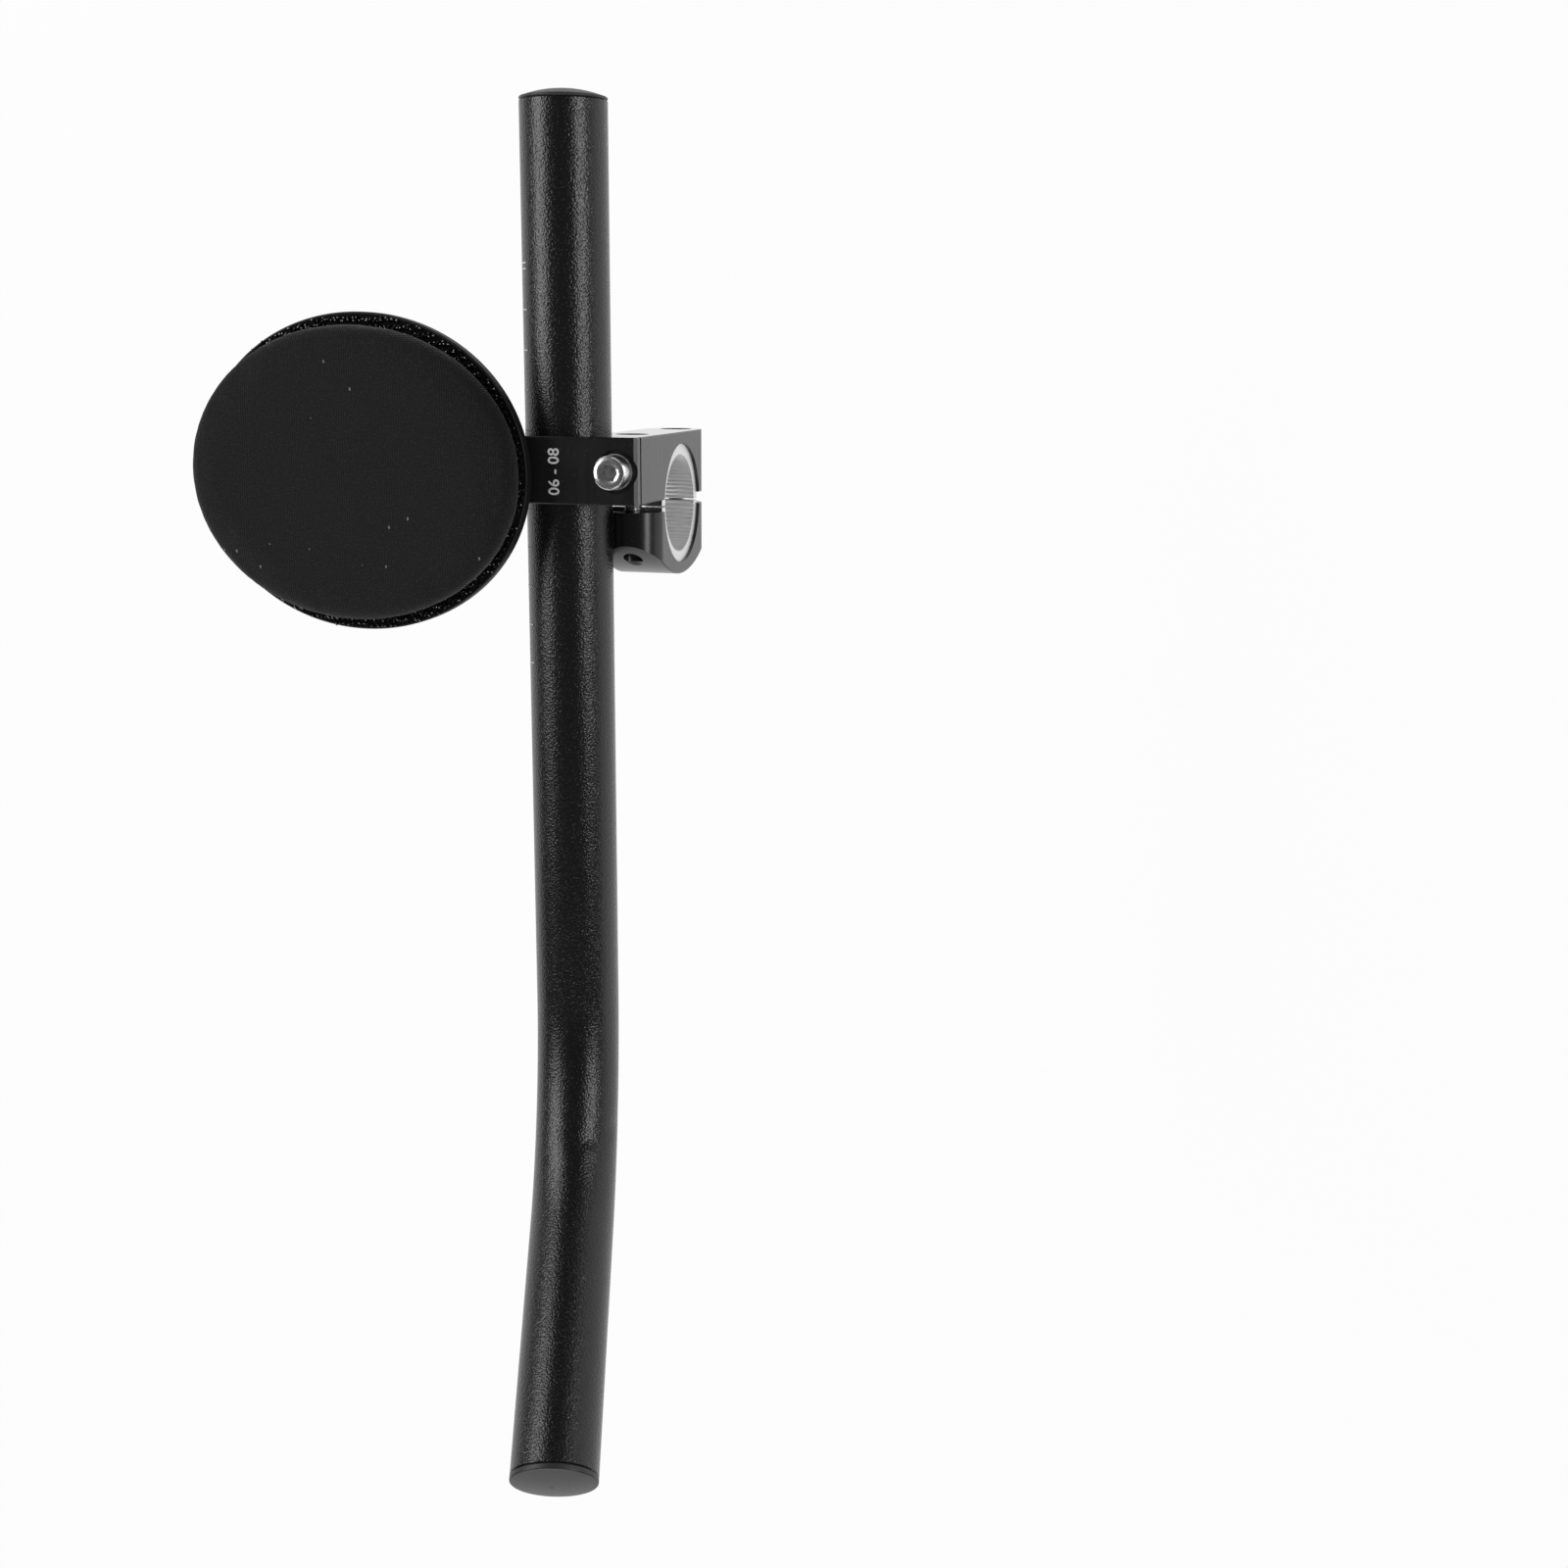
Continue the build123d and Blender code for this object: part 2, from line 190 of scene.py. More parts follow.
class Nodes:
    """The node tree of a material or a world."""

    def __init__(self, owner):
        self.owner = owner
        owner.use_nodes = True
        self.tree = owner.node_tree
        self.tree.nodes.clear()

    def node(self, kind, settings=None, inputs=None, output=0):
        """Adds a node, sets its settings and its sockets' values or wires, and returns an output."""
        node = self.tree.nodes.new(kind)
        for key, value in (settings or {}).items():
            if key == "stops":
                self.set_stops(node.color_ramp.elements, value)
            else:
                setattr(node, key, value)
        for key, value in (inputs or {}).items():
            if isinstance(value, Wire):
                self.tree.links.new(value.socket, node.inputs[key])
            else:
                node.inputs[key].default_value = value
        if node.outputs:
            return Wire(self, node.outputs[output])

    @staticmethod
    def set_stops(ramp, stops):
        while len(ramp) < len(stops):
            ramp.new(1.0)
        for element, (place, colour) in zip(ramp, stops):
            element.position = place
            element.color = colour

    def place(self):
        return self.node("ShaderNodeTexCoord", output="Object")

    def axis(self, letter):
        return self.node("ShaderNodeSeparateXYZ", inputs={0: self.place()}, output=letter)

    def stretch(self, scale):
        return self.node("ShaderNodeMapping", inputs={"Vector": self.place(), "Scale": scale})

    def noise(self, scale, detail=2.0, roughness=0.5, vector=None):
        """Cloudy noise from 0 to 1, with about this many lumps to the metre."""
        inputs = {"Scale": scale, "Detail": detail, "Roughness": roughness}
        inputs["Vector"] = vector or self.place()
        return self.node("ShaderNodeTexNoise", inputs=inputs)

    def waves(self, letter, pitch, shift=0.0):
        """Sine along one axis, with a wave to each pitch."""
        return (self.axis(letter) * (2 * pi / pitch) + shift).sine()

    def hump(self, distance, width):
        """Smooth rise to 1 where the distance is 0."""
        share = distance / width
        return (share * share * -1).exponential()

    def ramp(self, factor, *stops):
        return self.node("ShaderNodeValToRGB", {"stops": stops}, {0: factor})

    def mix(self, factor, first, second):
        return self.node("ShaderNodeMix", {"data_type": "RGBA"}, {0: factor, 6: first, 7: second}, output=2)

    def bump(self, height, distance, strength=1.0, below=None):
        inputs = {"Height": height, "Distance": distance, "Strength": strength}
        if below:
            inputs["Normal"] = below
        return self.node("ShaderNodeBump", inputs=inputs)

    def surface(self, **sockets):
        inputs = {key.replace("_", " "): value for key, value in sockets.items()}
        shader = self.node("ShaderNodeBsdfPrincipled", inputs=inputs)
        self.node("ShaderNodeOutputMaterial", inputs={"Surface": shader})
        return self.owner


def new_finish(name):
    return Nodes(bpy.data.materials.new(name))


def grey(level):
    return (level, level, level, 1.0)


def extent(node):
    """Lowest corner, centre and half the size of a node's box."""
    low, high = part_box(node)
    return low, (low + high) / 2, (high - low) / 2


# Finishes

def satin_tube_finish():
    """Fine blasted and anodised black, with the shallow dent that bending left."""
    finish = new_finish("satin_black_tube")
    sand = finish.noise(1900, detail=1.0)
    cloud = finish.noise(55)
    across = finish.hump(finish.axis("X") - DENT_X, DENT_WIDTH)
    along = finish.hump(finish.axis("Y") - DENT_Y, DENT_LENGTH)
    normal = finish.bump(along * across * -1, DENT_DEPTH)
    normal = finish.bump(sand, 0.15 * MM, below=normal)
    colour = finish.mix(cloud, grey(0.0045), grey(0.007))
    # painted glints: the highest sand grains get a lighter base colour
    colour = finish.mix((sand > 0.66) * 0.03, colour, grey(0.5))
    return finish.surface(Base_Color=colour, Roughness=0.19 + sand * 0.16, Normal=normal)


def machined_black_finish():
    """Black anodised aluminium with faint milling lines, and smoother on the cut rear face."""
    finish = new_finish("machined_black")
    lines = finish.noise(900, vector=finish.stretch((1.0, 0.06, 1.0)))
    specks = finish.noise(1500, detail=1.0)
    cloud = finish.noise(90, detail=3.0)
    colour = finish.mix(cloud, grey(0.004), grey(0.007))
    colour = finish.mix((specks > 0.74) * 0.08, colour, grey(0.35))
    cut = finish.axis("Y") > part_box("clamp_body")[1].y - SKIN
    normal = finish.bump(lines * (1 - cut), 0.01 * MM, 0.35)
    roughness = (0.2 + lines * 0.1 + cloud * 0.06) * (1 - cut * 0.85)
    return finish.surface(Base_Color=colour, Roughness=roughness, Normal=normal)


def shim_finish():
    """Satin aluminium, drawn along the bar, with painted shade between the ribs and in the slit, and darker
    on the cut ends.
    """
    finish = new_finish("satin_aluminium")
    grain = finish.noise(6000, detail=3.0, vector=finish.stretch((0.1, 1.0, 1.0)))
    cloud = finish.noise(160, detail=3.0)
    _, centre, half = extent("rear_shim")
    x = finish.axis("X") - centre.x
    y = finish.axis("Y")
    z = finish.axis("Z")
    end = x * x > (half.x - SKIN) ** 2
    # painted shade: the base colour darkens with depth between the ribs and across the slit faces; the cut
    # ends are darker as well
    groove = ((y * y + z * z).root() - BAR_RADIUS) / RIB_DEPTH * (1 - end)
    colour = finish.mix(cloud, grey(0.93), grey(0.99))
    colour = finish.mix(groove * 0.22 + end * 0.22, colour, grey(0.3))
    normal = finish.bump(grain, 0.004 * MM, 0.3)
    return finish.surface(Base_Color=colour, Roughness=0.44 + grain * 0.12, Metallic=1.0, Normal=normal)


def plated_finish():
    """Zinc-plated steel with a fine grain and small stains."""
    finish = new_finish("plated_steel")
    grain = finish.noise(2200)
    stain = finish.noise(420, detail=3.0)
    stained = finish.ramp(stain, (0.35, grey(0.0)), (0.7, grey(1.0)))
    colour = finish.mix(stained, grey(0.62), grey(0.5))
    normal = finish.bump(grain, 0.01 * MM, 0.5)
    return finish.surface(Base_Color=colour, Roughness=0.2 + stain * 0.1, Metallic=1.0, Normal=normal)


def chrome_finish():
    """Bright chrome with a few dull spots, crowned round the socket of the bolt's head."""
    finish = new_finish("bright_chrome")
    _, centre, half = extent("tube_bolt")
    x = finish.axis("X") - centre.x
    y = finish.axis("Y") - centre.y
    face = finish.axis("Z") > centre.z + half.z - HEAD_FACE
    over_face = ((x * x + y * y).root() - SOCKET_EDGE) * (pi / CROWN_WIDTH)
    crown = (over_face + finish.noise(300) * 0.5).sine() * face
    spots = finish.noise(800, detail=3.0)
    dull = finish.ramp(spots, (0.42, grey(0.0)), (0.68, grey(1.0)))
    colour = finish.mix(dull, grey(0.94), grey(0.6))
    normal = finish.bump(crown, CROWN_HEIGHT)
    return finish.surface(Base_Color=colour, Roughness=0.17 + spots * 0.14, Metallic=1.0, Normal=normal)


def plug_finish():
    """Moulded black plastic with a fine spark grain."""
    finish = new_finish("moulded_plug")
    grain = finish.noise(2400, detail=3.0)
    cloud = finish.noise(120)
    colour = finish.mix(cloud, grey(0.02), grey(0.028))
    normal = finish.bump(grain, 0.04 * MM, 0.4)
    return finish.surface(Base_Color=colour, Roughness=0.36 + grain * 0.2, Normal=normal)


def rest_finish():
    """Moulded black plastic of the rest plate."""
    finish = new_finish("moulded_rest")
    grain = finish.noise(1800, detail=3.0)
    cloud = finish.noise(80)
    colour = finish.mix(cloud, grey(0.006), grey(0.01))
    normal = finish.bump(grain, 0.03 * MM, 0.4)
    return finish.surface(
        Base_Color=colour, Roughness=0.45 + grain * 0.18, Normal=normal, Specular_IOR_Level=0.25)


def hook_finish():
    """Shiny black nylon of the hooks."""
    finish = new_finish("nylon_hooks")
    grain = finish.noise(900)
    colour = finish.mix(grain, grey(0.002), grey(0.008))
    normal = finish.bump(grain, 0.03 * MM, 0.5)
    return finish.surface(
        Base_Color=colour, Roughness=0.2 + grain * 0.12, Normal=normal, Specular_IOR_Level=1.0)


def tape_finish():
    """Dull black weave under the hooks."""
    finish = new_finish("tape_weave")
    weave = finish.waves("X", WEAVE_PITCH) * finish.waves("Y", WEAVE_PITCH)
    colour = finish.mix(weave * 0.5 + 0.5, grey(0.0015), grey(0.005))
    normal = finish.bump(weave, 0.04 * MM, 0.6)
    return finish.surface(
        Base_Color=colour, Roughness=0.85 + weave * 0.08, Normal=normal, Specular_IOR_Level=0.1)


def knit_finish():
    """Close black knit: fine wales along the pad, fuzz and a few specks of lint."""
    finish = new_finish("black_knit")
    wobble = finish.noise(180) * 1.2
    wales = finish.waves("X", KNIT_WALE, wobble)
    courses = finish.waves("Y", KNIT_COURSE, wobble)
    loops = wales * 0.5 + courses * 0.35 + finish.noise(2600) * 0.8
    cloud = finish.noise(45, detail=4.0, roughness=0.6)
    fuzz = finish.noise(1900, detail=3.0, roughness=0.7)
    spots = finish.node(
        "ShaderNodeTexVoronoi", {"feature": "F1"},
        {"Vector": finish.stretch((1.0, 0.55, 1.0)), "Scale": 260.0, "Randomness": 1.0}, output="Distance")
    lint = (spots < 0.07) * (finish.noise(33, detail=1.0) > 0.5)
    colour = finish.mix(cloud, grey(0.0065), grey(0.0105))
    colour = finish.mix((fuzz > 0.56) * 0.03, colour, grey(0.3))
    colour = finish.mix(lint * 0.3, colour, grey(0.6))
    normal = finish.bump(loops, 0.1 * MM, 0.8)
    return finish.surface(
        Base_Color=colour, Roughness=0.86 + fuzz * 0.1, Normal=normal,
        Sheen_Weight=0.2, Sheen_Roughness=0.4, Specular_IOR_Level=0.2)


def ink_finish():
    """Worn white marking ink."""
    finish = new_finish("marking_ink")
    wear = finish.noise(1500, detail=3.0)
    colour = finish.ramp(wear, (0.3, grey(0.42)), (0.55, grey(0.72)))
    normal = finish.bump(wear, 0.01 * MM, 0.3)
    return finish.surface(Base_Color=colour, Roughness=0.45 + wear * 0.2, Normal=normal)


# Modelling helpers

def clear_selection():
    if bpy.context.object and bpy.context.object.mode != "OBJECT":
        bpy.ops.object.mode_set(mode="OBJECT")
    bpy.ops.object.select_all(action="DESELECT")


def pick(piece):
    """Selects one piece and nothing else."""
    clear_selection()
    piece.select_set(True)
    bpy.context.view_layer.objects.active = piece


def named(name):
    """The piece that was just added, with its name."""
    piece = bpy.context.object
    piece.name = name
    piece.data.name = name
    return piece


def copy_of(piece, name):
    twin = piece.copy()
    twin.data = piece.data.copy()
    twin.name = name
    twin.data.name = name
    SCENE.collection.objects.link(twin)
    return twin


def settle(piece):
    """Puts a piece's place, turn and scale into its mesh."""
    pick(piece)
    bpy.ops.object.transform_apply(location=True, rotation=True, scale=True)


def moved_copy(piece, name, shift):
    twin = copy_of(piece, name)
    twin.location = shift
    settle(twin)
    return twin


def select_points(piece, wanted):
    """Goes into edit mode with the points selected whose place passes the test."""
    pick(piece)
    bpy.ops.object.mode_set(mode="EDIT")
    bpy.ops.mesh.select_mode(type="VERT")
    bpy.ops.mesh.select_all(action="DESELECT")
    bpy.ops.object.mode_set(mode="OBJECT")
    for point in piece.data.vertices:
        point.select = wanted(point.co)
    bpy.ops.object.mode_set(mode="EDIT")


def bevel_rim(piece, wanted, width, segments):
    """Rounds the edges between the points that pass the test."""
    select_points(piece, wanted)
    bpy.ops.mesh.bevel(offset=width, segments=segments, affect="EDGES")
    bpy.ops.object.mode_set(mode="OBJECT")


def delete_points(piece, unwanted):
    select_points(piece, unwanted)
    bpy.ops.mesh.delete(type="VERT")
    bpy.ops.object.mode_set(mode="OBJECT")


def apply_modifier(piece, name, kind, **settings):
    modifier = piece.modifiers.new(name, kind)
    for key, value in settings.items():
        setattr(modifier, key, value)
    bpy.context.view_layer.objects.active = piece
    bpy.ops.object.modifier_apply(modifier=modifier.name)


def join(name, pieces):
    clear_selection()
    for piece in pieces:
        piece.select_set(True)
    bpy.context.view_layer.objects.active = pieces[0]
    bpy.ops.object.join()
    return named(name)


def outward(piece):
    """Turns all faces of a closed piece outwards."""
    pick(piece)
    bpy.ops.object.mode_set(mode="EDIT")
    bpy.ops.mesh.select_all(action="SELECT")
    bpy.ops.mesh.normals_make_consistent(inside=False)
    bpy.ops.object.mode_set(mode="OBJECT")


def smooth(piece, angle):
    """Shades a piece smooth, apart from edges sharper than the angle in degrees."""
    pick(piece)
    bpy.ops.object.shade_smooth_by_angle(angle=radians(angle))


def dress(piece, body, finish, slot, *replaced):
    """Gives a piece its finish and body, and hides the nodes that it stands for. The slot is not used."""
    piece.data.materials.clear()
    piece.data.materials.append(finish)
    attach(piece, body)
    if replaced:
        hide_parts(*replaced)


# Shims

def in_rib_groove(co):
    """True for the half of each rib's pitch that lies in the groove."""
    step = atan2(co.z, co.y) / (2 * pi) * POINTS_PER_RIB * SHIM_RIBS
    return (step + 0.25) % POINTS_PER_RIB >= POINTS_PER_RIB / 2


def rear_shim():
    """Half shell against the body, with fine ribs along the bar."""
    low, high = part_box("rear_shim")
    outer = high.z
    middle = (BAR_RADIUS + outer) / 2
    clear_selection()
    bpy.ops.mesh.primitive_cylinder_add(
        vertices=POINTS_PER_RIB * SHIM_RIBS, radius=outer, depth=high.x - low.x,
        end_fill_type="NOTHING", rotation=(0, pi / 2, 0))
    shim = named("ribbed_rear_shim")
    settle(shim)
    bpy.ops.object.mode_set(mode="EDIT")
    bpy.ops.mesh.select_all(action="SELECT")
    bpy.ops.mesh.extrude_region()
    shrink = BAR_RADIUS / outer
    bpy.ops.transform.resize(value=(1, shrink, shrink), center_override=(0, 0, 0))
    select_points(shim, lambda co: hypot(co.y, co.z) < middle and in_rib_groove(co))
    widen = (BAR_RADIUS + RIB_DEPTH) / BAR_RADIUS
    bpy.ops.transform.resize(value=(1, widen, widen), center_override=(0, 0, 0))
    bpy.ops.mesh.select_all(action="SELECT")
    bpy.ops.mesh.bisect(plane_co=(0, low.y, 0), plane_no=(0, 1, 0), use_fill=True, clear_inner=True)
    outward(shim)
    smooth(shim, 25)
    return shim


def front_shim(rear):
    """The same half shell turned over, in the cap."""
    shim = copy_of(rear, "ribbed_front_shim")
    shim.rotation_euler = (pi, 0, 0)
    settle(shim)
    return shim


# Cap bolts

def bolt_head(radius, height):
    """Socket head, its seat on the floor."""
    clear_selection()
    bpy.ops.mesh.primitive_cylinder_add(
        vertices=64, radius=radius, depth=height, location=(0, 0, height / 2))
    head = named("head")
    settle(head)
    bevel_rim(head, lambda co: co.z > height - HAIR, HEAD_ROUND, 3)
    clear_selection()
    bpy.ops.mesh.primitive_cylinder_add(
        vertices=6, radius=CAP_BOLT_KEY / (2 * cos(pi / 6)), depth=height,
        location=(0, 0, height * (1.5 - SOCKET_SHARE)))
    key = named("key")
    settle(key)
    apply_modifier(head, "socket", "BOOLEAN", operation="DIFFERENCE", object=key, solver="EXACT")
    bpy.data.objects.remove(key)
    return head


def bolt_core(length):
    """Core of the thread, with a bevelled tip."""
    clear_selection()
    bpy.ops.mesh.primitive_cylinder_add(
        vertices=48, radius=CAP_BOLT_RADIUS - THREAD_DEPTH, depth=length, location=(0, 0, -length / 2))
    core = named("core")
    settle(core)
    bevel_rim(core, lambda co: co.z < HAIR - length, TIP_ROUND, 2)
    return core


def bolt_thread(length):
    """Three-sided ridge wound round the core from its tip."""
    start = RIDGE_RADIUS + RIDGE_LEAD - length
    clear_selection()
    bpy.ops.mesh.primitive_circle_add(
        vertices=3, radius=RIDGE_RADIUS, rotation=(pi / 2, pi / 2, 0),
        location=(CAP_BOLT_RADIUS - RIDGE_RADIUS, 0, start))
    ridge = named("ridge")
    ridge.scale = (RIDGE_PRESS, 1, 1)
    settle(ridge)
    apply_modifier(
        ridge, "winding", "SCREW", axis="Z", angle=2 * pi, screw_offset=THREAD_PITCH,
        iterations=int(length / THREAD_PITCH) - 1, steps=36, render_steps=36)
    select_points(ridge, lambda co: True)
    bpy.ops.mesh.fill_holes(sides=3)
    bpy.ops.object.mode_set(mode="OBJECT")
    return ridge


def upper_bolt():
    """Socket cap bolt along Y with a real thread."""
    low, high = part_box("upper_cap_bolt")
    head_height = 2 * CAP_BOLT_RADIUS
    seat = high.y - head_height
    length = seat - low.y
    bolt = join("upper_bolt", [
        bolt_head((high.x - low.x) / 2, head_height), bolt_core(length), bolt_thread(length)])
    outward(bolt)
    bolt.rotation_euler = (-pi / 2, 0, 0)
    bolt.location = (0, seat, (low.z + high.z) / 2)
    settle(bolt)
    smooth(bolt, 35)
    return bolt


def lower_bolt(upper):
    """The same bolt below the bar."""
    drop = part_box("lower_cap_bolt")[0].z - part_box("upper_cap_bolt")[0].z
    return moved_copy(upper, "lower_bolt", (0, 0, drop))


# Hook tape

def one_hook():
    """A short stem whose top is bent over to the rear, standing on the floor."""
    clear_selection()
    bpy.ops.mesh.primitive_cylinder_add(
        vertices=5, radius=HOOK_WIRE, depth=HOOK_STEM, end_fill_type="NOTHING",
        location=(0, 0, HOOK_STEM / 2))
    hook = named("hook")
    settle(hook)
    select_points(hook, lambda co: co.z > HOOK_STEM / 2)
    bpy.ops.mesh.spin(steps=4, angle=HOOK_TURN, center=(0, HOOK_BEND, HOOK_STEM), axis=(1, 0, 0))
    bpy.ops.mesh.edge_face_add()
    select_points(hook, lambda co: co.z < HAIR)
    bpy.ops.mesh.edge_face_add()
    outward(hook)
    return hook


def hook_rows():
    """Rows of hooks in the band that shows beside the pad, bent to the rear and the front by turns."""
    low, centre, half = extent("hook_disc")
    rows = int(half.y / HOOK_ROW)
    columns = int(half.x / HOOK_STEP)
    sway = random.Random(HOOK_SEED)
    pattern = one_hook()
    hooks = []
    for row in range(-rows, rows + 1):
        for column in range(-columns, columns + 1):
            x = (column + row % 2 / 2) * HOOK_STEP
            y = row * HOOK_ROW
            if HOOK_BAND[0] < hypot(x / half.x, y / half.y) < HOOK_BAND[1]:
                hook = copy_of(pattern, "hook")
                x += centre.x + sway.uniform(-HOOK_STRAY, HOOK_STRAY)
                y += centre.y + sway.uniform(-HOOK_STRAY, HOOK_STRAY)
                hook.location = (x, y, low.z + TAPE_BASE)
                hook.rotation_euler.z = row % 2 * pi + sway.uniform(-HOOK_SWAY, HOOK_SWAY)
                hooks.append(hook)
    bpy.data.objects.remove(pattern)
    field = join("tape_hooks", hooks)
    settle(field)
    smooth(field, 60)
    return field


def tape_ground():
    """Woven disc that carries the hooks."""
    low, centre, half = extent("hook_disc")
    clear_selection()
    bpy.ops.mesh.primitive_cylinder_add(
        vertices=144, radius=1, depth=TAPE_BASE, location=(centre.x, centre.y, low.z + TAPE_BASE / 2))
    disc = named("tape_ground")
    disc.scale = (half.x, half.y, 1)
    settle(disc)
    bevel_rim(disc, lambda co: co.z > low.z + TAPE_BASE / 2, TAPE_ROUND, 2)
    smooth(disc, 40)
    return disc


# Forearm pad

def forearm_pad():
    """Foam pad in a close knit cover: flat underneath, slightly crowned, with a soft shoulder."""
    low, centre, half = extent("arm_pad")
    clear_selection()
    bpy.ops.mesh.primitive_cylinder_add(
        vertices=128, radius=1, depth=2 * half.z - PAD_SWELL,
        location=(centre.x, centre.y, centre.z - PAD_SWELL / 2))
    pad = named("forearm_pad")
    pad.scale = (half.x - PAD_INSET, half.y - PAD_INSET, 1)
    settle(pad)
    bevel_rim(pad, lambda co: co.z > centre.z, PAD_SHOULDER, 5)
    bevel_rim(pad, lambda co: co.z < low.z + HAIR, PAD_FOOT, 2)
    apply_modifier(pad, "even_mesh", "REMESH", mode="VOXEL", voxel_size=PAD_VOXEL)
    foam = [point.co.copy() for point in pad.data.vertices]
    puff(pad)
    for place, point in zip(foam, pad.data.vertices):
        rise = point.co - place
        if rise.length > PAD_SWELL:
            rise *= PAD_SWELL / rise.length
        point.co = place + rise
        point.co.z = max(point.co.z, low.z)
    apply_modifier(pad, "soften", "SMOOTH", factor=0.5, iterations=3)
    apply_modifier(pad, "finer", "SUBSURF", levels=1, render_levels=1)
    pick(pad)
    bpy.ops.object.shade_smooth()
    return pad


def puff(pad):
    """Swells the cover over its foam by cloth simulation."""
    cloth = pad.modifiers.new("cover", "CLOTH")
    cloth.settings.use_pressure = True
    cloth.settings.uniform_pressure_force = PAD_PRESSURE
    cloth.settings.effector_weights.gravity = 0.0
    cloth.settings.quality = 4
    cloth.point_cache.frame_start = 1
    cloth.point_cache.frame_end = PAD_FRAMES
    for step in range(1, PAD_FRAMES + 1):
        SCENE.frame_set(step)
    bpy.context.view_layer.objects.active = pad
    bpy.ops.object.modifier_apply(modifier=cloth.name)
    SCENE.frame_set(1)


# Markings

def flat_figures(name, figures, height, bold):
    """Thin mesh figures centred on the origin, reading along X."""
    clear_selection()
    bpy.ops.object.text_add()
    text = bpy.context.object
    text.data.body = figures
    text.data.size = height / CAPITAL_SHARE
    text.data.offset = bold
    text.data.align_x = "CENTER"
    text.data.align_y = "CENTER"
    text.data.extrude = INK_THICKNESS / 2
    text.data.resolution_u = 4
    bpy.ops.object.convert(target="MESH")
    mesh = named(name)
    settle(mesh)
    return mesh


def on_tick(co):
    turn = atan2(TUBE_X - co.x, co.z - TUBE_Z)
    return TICK_TURN[0] < turn < TICK_TURN[1]


def first_tick():
    """Rearmost graduation, a short band on the tube's outer side."""
    clear_selection()
    bpy.ops.mesh.primitive_cylinder_add(
        vertices=180, radius=TUBE_RADIUS + INK_LIFT, depth=TICK_WIDTH, end_fill_type="NOTHING",
        rotation=(pi / 2, 0, 0), location=(TUBE_X, TICK_FIRST, TUBE_Z))
    tick = named("tick")
    settle(tick)
    delete_points(tick, lambda co: not on_tick(co))
    apply_modifier(tick, "ink", "SOLIDIFY", thickness=INK_THICKNESS, offset=1)
    return tick


def tube_number(count):
    """A number laid round the tube beside its graduation, upright from the outer side."""
    number = flat_figures("number", str(count), NUMBER_HEIGHT, 0.0)
    select_points(number, lambda co: True)
    bpy.ops.mesh.remove_doubles(threshold=HAIR)
    bpy.ops.mesh.subdivide(number_cuts=NUMBER_CUTS)
    bpy.ops.mesh.quads_convert_to_tris(quad_method="BEAUTY", ngon_method="BEAUTY")
    bpy.ops.object.mode_set(mode="OBJECT")
    for point in number.data.vertices:
        turn = NUMBER_TURN - point.co.y / TUBE_RADIUS
        radius = TUBE_RADIUS + INK_LIFT + point.co.z
        along = TICK_FIRST - count * TICK_STEP - point.co.x
        point.co = (TUBE_X - radius * sin(turn), along, TUBE_Z + radius * cos(turn))
    outward(number)
    return number


def tube_scale():
    """Numbered graduations on the tube's outer side, with a limit line behind them."""
    tick = first_tick()
    marks = [tick, moved_copy(tick, "tick", (0, LIMIT_GAP, 0))]
    for count in range(TICK_COUNT):
        if count:
            marks.append(moved_copy(tick, "tick", (0, -count * TICK_STEP, 0)))
        marks.append(tube_number(count))
    return join("tube_scale", marks)


def arm_figures():
    """Plain figures on the arm's top face."""
    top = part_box("clamp_body")[1].z
    figures = flat_figures("arm_figures", ARM_FIGURES, ARM_FIGURE_HEIGHT, ARM_FIGURE_BOLD)
    figures.rotation_euler = (0, 0, pi / 2)
    figures.location = (ARM_FIGURE_X, ARM_FIGURE_Y, top + INK_THICKNESS / 2)
    settle(figures)
    return figures


# Studio

def studio_floor():
    """White floor below the object: white where it is looked at or mirrored, with a soft shadow."""
    finish = new_finish("studio_floor")
    seen = finish.node("ShaderNodeLightPath", output="Is Camera Ray")
    mirrored = finish.node("ShaderNodeLightPath", output="Is Glossy Ray")
    through = finish.node("ShaderNodeLightPath", output="Is Transmission Ray")
    shown = finish.node(
        "ShaderNodeMath", {"operation": "ADD", "use_clamp": True}, {0: seen + mirrored, 1: through})
    paper = finish.node("ShaderNodeBsdfDiffuse", inputs={"Color": grey(0.86)})
    white = finish.node("ShaderNodeEmission", inputs={"Color": grey(1.0), "Strength": 1.0})
    shader = finish.node("ShaderNodeMixShader", inputs={0: shown * FLOOR_WHITE, 1: paper, 2: white})
    finish.node("ShaderNodeOutputMaterial", inputs={"Surface": shader})
    clear_selection()
    bpy.ops.mesh.primitive_plane_add(size=FLOOR_WIDTH, location=(0, 0, FLOOR_Z))
    floor = named("studio_floor")
    floor.data.materials.append(finish.owner)


def studio_world():
    """Dim room light, with white behind the object where the camera looks past the floor."""
    room = Nodes(bpy.data.worlds.new("studio"))
    seen = room.node("ShaderNodeLightPath", output="Is Camera Ray")
    dim = room.node("ShaderNodeBackground", inputs={"Color": grey(1.0), "Strength": ROOM_LIGHT})
    white = room.node("ShaderNodeBackground", inputs={"Color": grey(1.0), "Strength": 1.0})
    shader = room.node("ShaderNodeMixShader", inputs={0: seen, 1: dim, 2: white})
    room.node("ShaderNodeOutputWorld", inputs={"Surface": shader})
    SCENE.world = room.owner


def softbox(name, turn, centre, distance, width, length, power):
    """Box lamp whose straight-down light is turned about the centre that it shines on."""
    light = bpy.data.lights.new(name, "AREA")
    light.shape = "RECTANGLE"
    light.size = width
    light.size_y = length
    light.energy = power
    lamp = bpy.data.objects.new(name, light)
    SCENE.collection.objects.link(lamp)
    lamp.rotation_euler = turn
    lamp.location = Vector(centre) + turn.to_matrix() @ Vector((0, 0, distance))


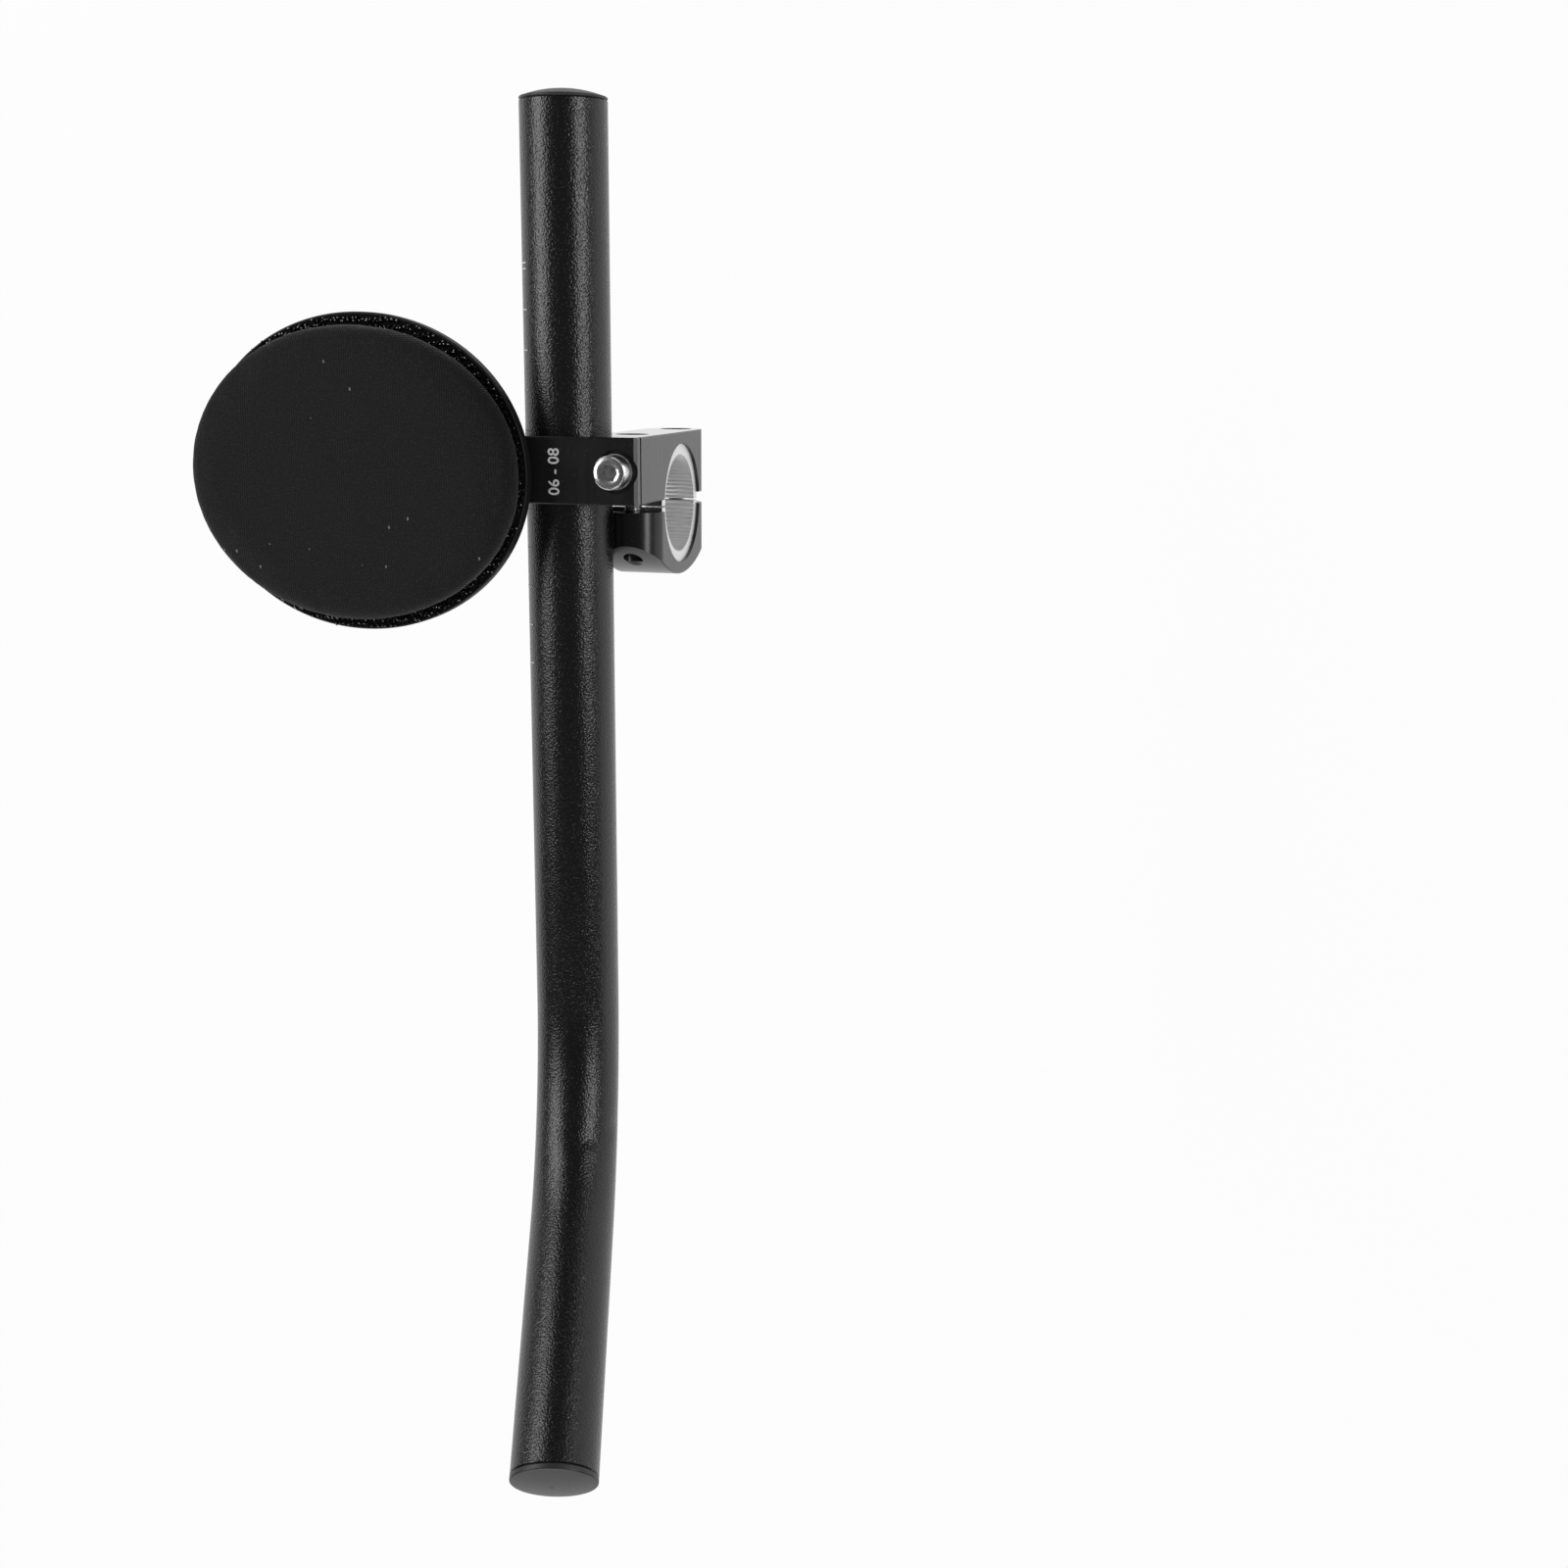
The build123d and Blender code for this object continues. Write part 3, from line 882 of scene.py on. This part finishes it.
def studio_lamps():
    softbox(
        "left_box", turn=Euler((0, radians(-50), 0)), centre=(-0.015, 0.44, 0.03),
        distance=0.9, width=0.4, length=1.12, power=7.9)
    softbox(
        "right_box", turn=Euler((0, radians(63.5), 0)), centre=(-0.015, 0.165, 0.03),
        distance=0.9, width=0.22, length=0.61, power=3.4)
    softbox(
        "front_fill", turn=Euler((radians(58), 0, 0)), centre=(0, -0.05, 0.0),
        distance=1.2, width=1.0, length=0.5, power=7.0)


def photo_camera():
    """Camera at the photograph's viewpoint."""
    lens = bpy.data.cameras.new("photo_camera")
    lens.sensor_width = SENSOR_WIDTH
    lens.lens = FOCAL_LENGTH
    lens.clip_start = CLIP_START
    camera = bpy.data.objects.new("photo_camera", lens)
    SCENE.collection.objects.link(camera)
    camera.location = CAMERA_PLACE
    camera.rotation_euler = CAMERA_TURN
    SCENE.camera = camera


FINISHES = {
    "tube": satin_tube_finish(),
    "clamp": machined_black_finish(),
    "shim": shim_finish(),
    "chrome": chrome_finish(),
    "steel": plated_finish(),
    "plug": plug_finish(),
    "rest": rest_finish(),
    "tape": tape_finish(),
    "hook": hook_finish(),
    "knit": knit_finish(),
    "ink": ink_finish(),
}

CARRIED_OVER = {
    "extension_tube": "tube",
    "rear_end_plug": "plug",
    "front_end_plug": "plug",
    "clamp_body": "clamp",
    "bar_clamp_cap": "clamp",
    "tube_bolt": "chrome",
    "tube_bolt_washer": "chrome",
    "rest_plate": "rest",
    "inner_rest_screw": "steel",
    "outer_rest_screw": "steel",
}

for node, finish in CARRIED_OVER.items():
    NODES[node].data.materials.clear()
    NODES[node].data.materials.append(FINISHES[finish])

REAR_SHIM = rear_shim()
FRONT_SHIM = front_shim(REAR_SHIM)
UPPER_BOLT = upper_bolt()
LOWER_BOLT = lower_bolt(UPPER_BOLT)
PAD = forearm_pad()
dress(REAR_SHIM, "clamp", FINISHES["shim"], "shim_aluminium", "rear_shim")
dress(FRONT_SHIM, "clamp", FINISHES["shim"], "shim_aluminium", "front_shim")
dress(UPPER_BOLT, "clamp", FINISHES["steel"], "screw_steel", "upper_cap_bolt")
dress(LOWER_BOLT, "clamp", FINISHES["steel"], "screw_steel", "lower_cap_bolt")
dress(tape_ground(), "clamp", FINISHES["tape"], "hook_black", "hook_disc")
dress(hook_rows(), "clamp", FINISHES["hook"], "hook_black")
dress(PAD, "clamp", FINISHES["knit"], "pad_black", "arm_pad")
dress(tube_scale(), "extension", FINISHES["ink"], "tube_black")
dress(arm_figures(), "clamp", FINISHES["ink"], "clamp_black")

studio_floor()
studio_world()
studio_lamps()
photo_camera()
SCENE.view_settings.view_transform = "Standard"
